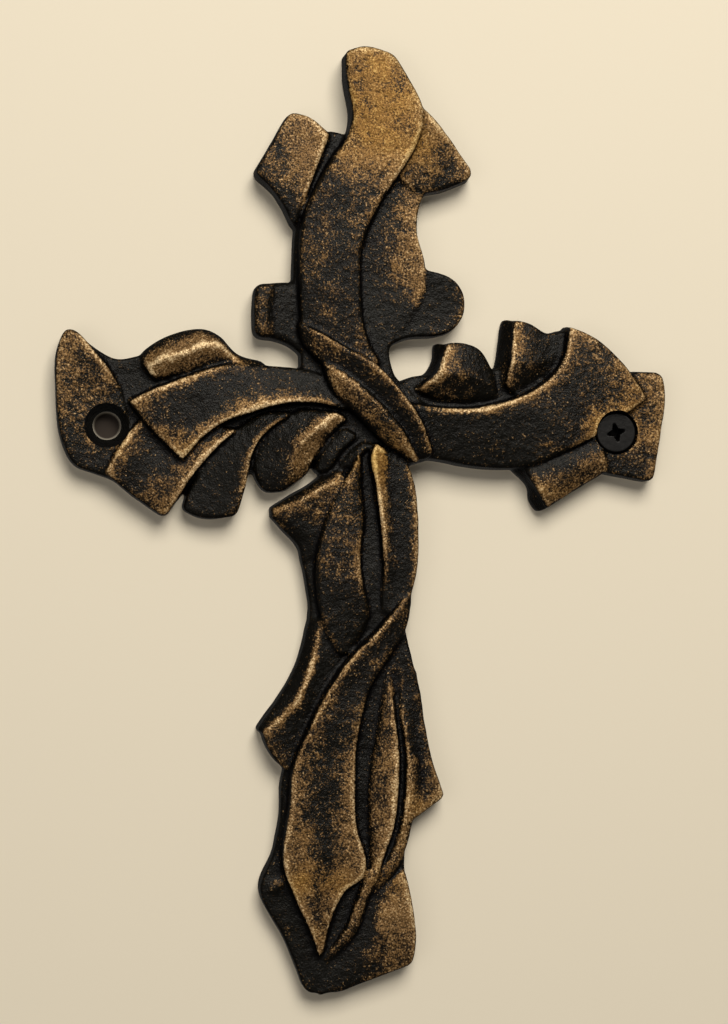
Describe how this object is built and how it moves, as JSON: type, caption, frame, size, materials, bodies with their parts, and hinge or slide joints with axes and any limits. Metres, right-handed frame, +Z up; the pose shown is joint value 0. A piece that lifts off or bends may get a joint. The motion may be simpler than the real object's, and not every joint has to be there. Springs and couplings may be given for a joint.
{
  "type": "cast iron wall cross",
  "caption": "Flat-backed cast iron wall cross in relief: leaf-like folds wrap its arms, with countersunk screw holes through the ends of the side arms and a screw in one.",
  "frame": {"origin": "on the flat back of the casting, behind the crossing of the arms", "axes": "+Z up the cross, +Y out of the back into the wall, so the front faces -Y and +X is the viewer's right"},
  "size_m": [0.1303, 0.0313, 0.201],
  "materials": {
    "painted_iron": "sand-cast iron painted black, with bronze paint rubbed over the raised edges",
    "black_steel": "satin black screw"
  },
  "bodies": {
    "root": {"cross_casting": "painted_iron", "screw": "black_steel"}
  },
  "joints": []
}
